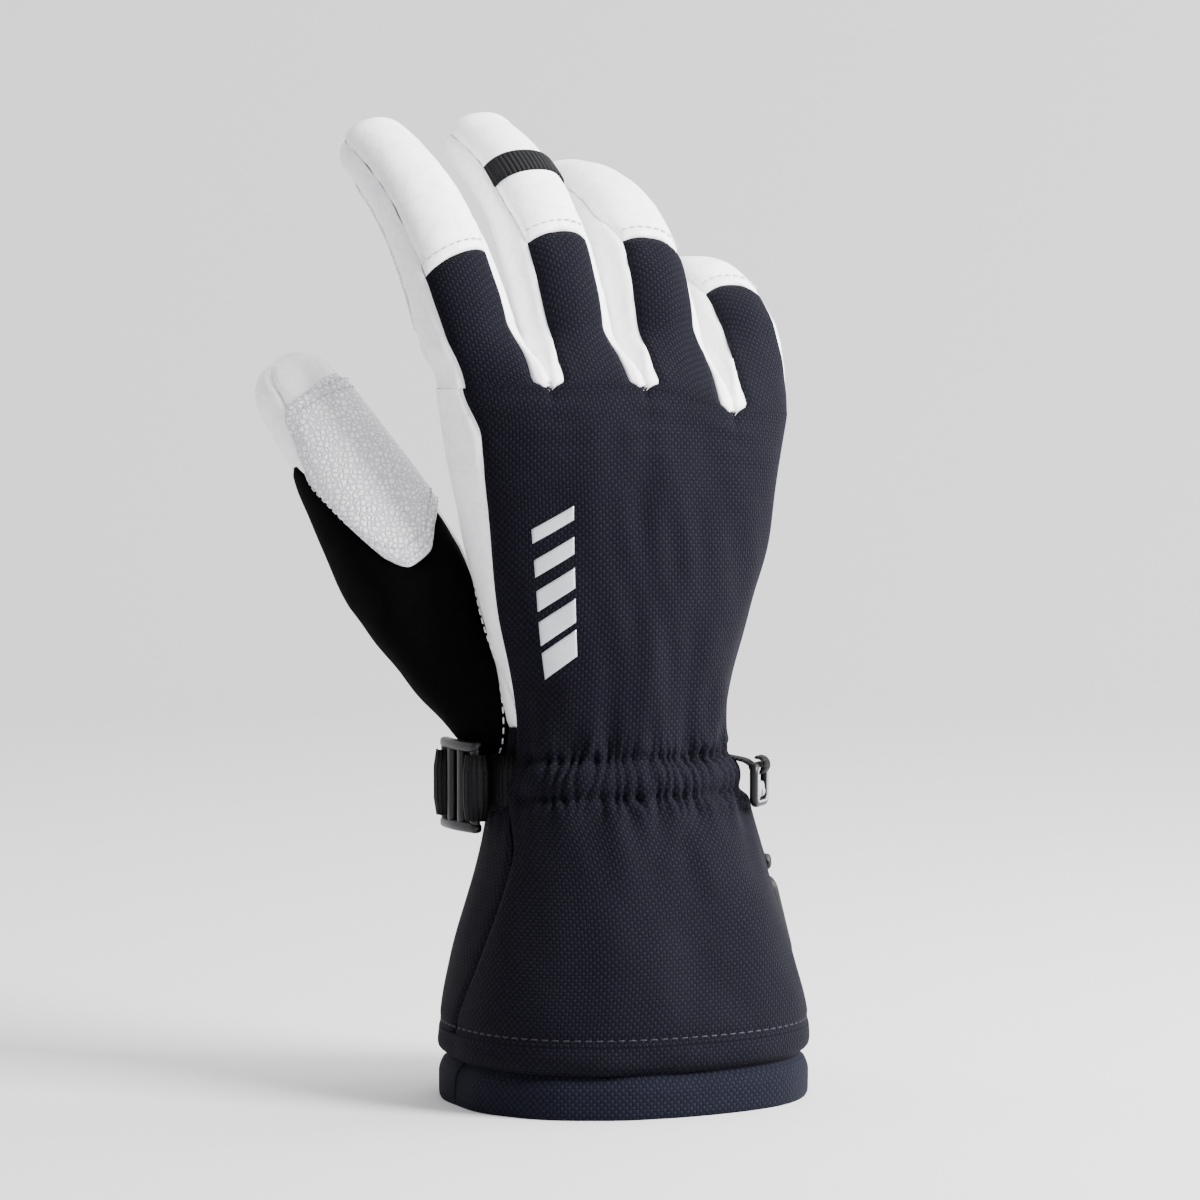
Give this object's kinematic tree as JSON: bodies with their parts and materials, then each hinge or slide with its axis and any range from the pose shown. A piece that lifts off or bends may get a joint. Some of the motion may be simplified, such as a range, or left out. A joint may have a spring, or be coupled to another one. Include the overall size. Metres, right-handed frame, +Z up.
{
  "type": "ski glove",
  "caption": "Right-hand gauntlet ski glove with curled fingers, leather fingertips, a wrist strap with a ladder buckle, a hanging clip and a pull tab, standing on its cuff.",
  "frame": {"origin": "middle of the cuff's mouth, on the surface the glove stands on", "axes": "+Z up along the arm towards the fingertips, +X towards the little finger, +Y towards the palm, so the back of the hand faces -Y"},
  "size_m": [0.147, 0.1144, 0.2839],
  "materials": {
    "navy_fabric": "woven oxford nylon, coated back",
    "cuff_fabric": "brushed tricot over foam",
    "lining_fleece": "brushed fleece",
    "elastic_tape": "knitted elastic",
    "white_leather": "smooth dyed goatskin",
    "grained_leather": "pebble-grained goatskin",
    "black_softshell": "smooth stretch softshell",
    "reflective_film": "heat-set reflective film",
    "black_webbing": "woven polyester tape",
    "black_plastic": "moulded acetal",
    "grey_plastic": "moulded acetal",
    "dark_rubber": "moulded elastomer"
  },
  "bodies": {
    "gauntlet": {"gauntlet_back_panel": "navy_fabric", "gauntlet_palm_panel": "navy_fabric", "gauntlet_hem": "navy_fabric", "inner_cuff_band": "cuff_fabric", "gauntlet_lining": "lining_fleece", "wrist_gather": "navy_fabric", "wrist_elastic": "elastic_tape", "wrist_strap": "black_webbing", "strap_tail": "black_webbing", "clip_webbing": "black_webbing", "tab_anchor": "black_webbing"},
    "hand": {"hand_back_panel": "navy_fabric", "hand_side_strip": "white_leather", "hand_palm_panel": "white_leather", "hand_lining": "lining_fleece", "thumb_gusset": "black_softshell", "reflective_mark": "reflective_film", "thumb_knuckle_fold": "black_softshell", "index_knuckle_fold": "navy_fabric", "middle_knuckle_fold": "navy_fabric", "ring_knuckle_fold": "navy_fabric", "little_knuckle_fold": "navy_fabric"},
    "thumb": {"thumb_back": "black_softshell", "thumb_palm_side": "white_leather", "thumb_grip_patch": "grained_leather", "thumb_lining": "lining_fleece"},
    "buckle": {"ladder_buckle": "black_plastic"},
    "clip": {"clip_frame": "black_plastic"},
    "tongue": {"clip_tongue": "grey_plastic"},
    "tab": {"pull_tab": "dark_rubber"},
    "index": {"index_back": "navy_fabric", "index_cap": "white_leather", "index_thumb_side_wall": "white_leather", "index_little_side_wall": "white_leather", "index_palm_side": "white_leather", "index_lining": "lining_fleece", "index_grip_patch": "grained_leather"},
    "middle": {"middle_back": "navy_fabric", "middle_cap": "white_leather", "middle_thumb_side_wall": "white_leather", "middle_little_side_wall": "white_leather", "middle_palm_side": "white_leather", "middle_lining": "lining_fleece", "middle_finger_strip": "black_webbing"},
    "ring": {"ring_back": "navy_fabric", "ring_cap": "white_leather", "ring_thumb_side_wall": "white_leather", "ring_little_side_wall": "white_leather", "ring_palm_side": "white_leather", "ring_lining": "lining_fleece"},
    "little": {"little_back": "navy_fabric", "little_cap": "white_leather", "little_thumb_side_wall": "white_leather", "little_little_side_wall": "white_leather", "little_palm_side": "white_leather", "little_lining": "lining_fleece"}
  },
  "joints": [
    {"name": "wrist_bend", "type": "hinge", "parent": "gauntlet", "child": "hand", "pos_m": [-0.0024, 0, 0.102], "axis": [-1, 0, 0], "range_deg": [-20, 20], "stiffness_Nm_per_rad": 2, "deforming": ["wrist_gather"]},
    {"name": "index_bend", "type": "hinge", "parent": "hand", "child": "index", "pos_m": [-0.04605, 0.001, 0.208], "axis": [-0.9848, 0, -0.1736], "range_deg": [-10, 30], "stiffness_Nm_per_rad": 0.3, "deforming": ["index_knuckle_fold"]},
    {"name": "middle_bend", "type": "hinge", "parent": "hand", "child": "middle", "pos_m": [-0.01755, 0.001, 0.208], "axis": [-0.9969, 0, -0.0785], "range_deg": [-10, 30], "stiffness_Nm_per_rad": 0.3, "deforming": ["middle_knuckle_fold"]},
    {"name": "ring_bend", "type": "hinge", "parent": "hand", "child": "ring", "pos_m": [0.01095, 0.001, 0.208], "axis": [-0.999, 0, -0.0436], "range_deg": [-10, 30], "stiffness_Nm_per_rad": 0.3, "deforming": ["ring_knuckle_fold"]},
    {"name": "little_bend", "type": "hinge", "parent": "hand", "child": "little", "pos_m": [0.03945, 0.001, 0.208], "axis": [-1, 0, 0], "range_deg": [-10, 18], "stiffness_Nm_per_rad": 0.3, "deforming": ["little_knuckle_fold"]},
    {"name": "thumb_bend", "type": "hinge", "parent": "hand", "child": "thumb", "pos_m": [-0.05579, 0.026, 0.1473], "axis": [-0.9063, 0, -0.4226], "range_deg": [-10, 25], "stiffness_Nm_per_rad": 0.4, "deforming": ["thumb_knuckle_fold"]},
    {"name": "buckle_tilt", "type": "hinge", "parent": "gauntlet", "child": "buckle", "pos_m": [-0.04404, 0.006, 0.09], "axis": [0, 0, 1], "range_deg": [0, 30], "deforming": ["strap_tail"]},
    {"name": "clip_swing", "type": "hinge", "parent": "gauntlet", "child": "clip", "pos_m": [0.03416, -0.0189, 0.0955], "axis": [-0.7071, -0.7071, 0], "range_deg": [0, 75]},
    {"name": "tongue_press", "type": "hinge", "parent": "clip", "child": "tongue", "pos_m": [0.03416, -0.0189, 0.09194], "axis": [0.7071, 0.7071, 0], "range_deg": [0, 10], "stiffness_Nm_per_rad": 0.005},
    {"name": "tab_swing", "type": "hinge", "parent": "gauntlet", "child": "tab", "pos_m": [0.04509, -0.002, 0.061], "axis": [0, -1, 0], "range_deg": [0, 60]}
  ]
}
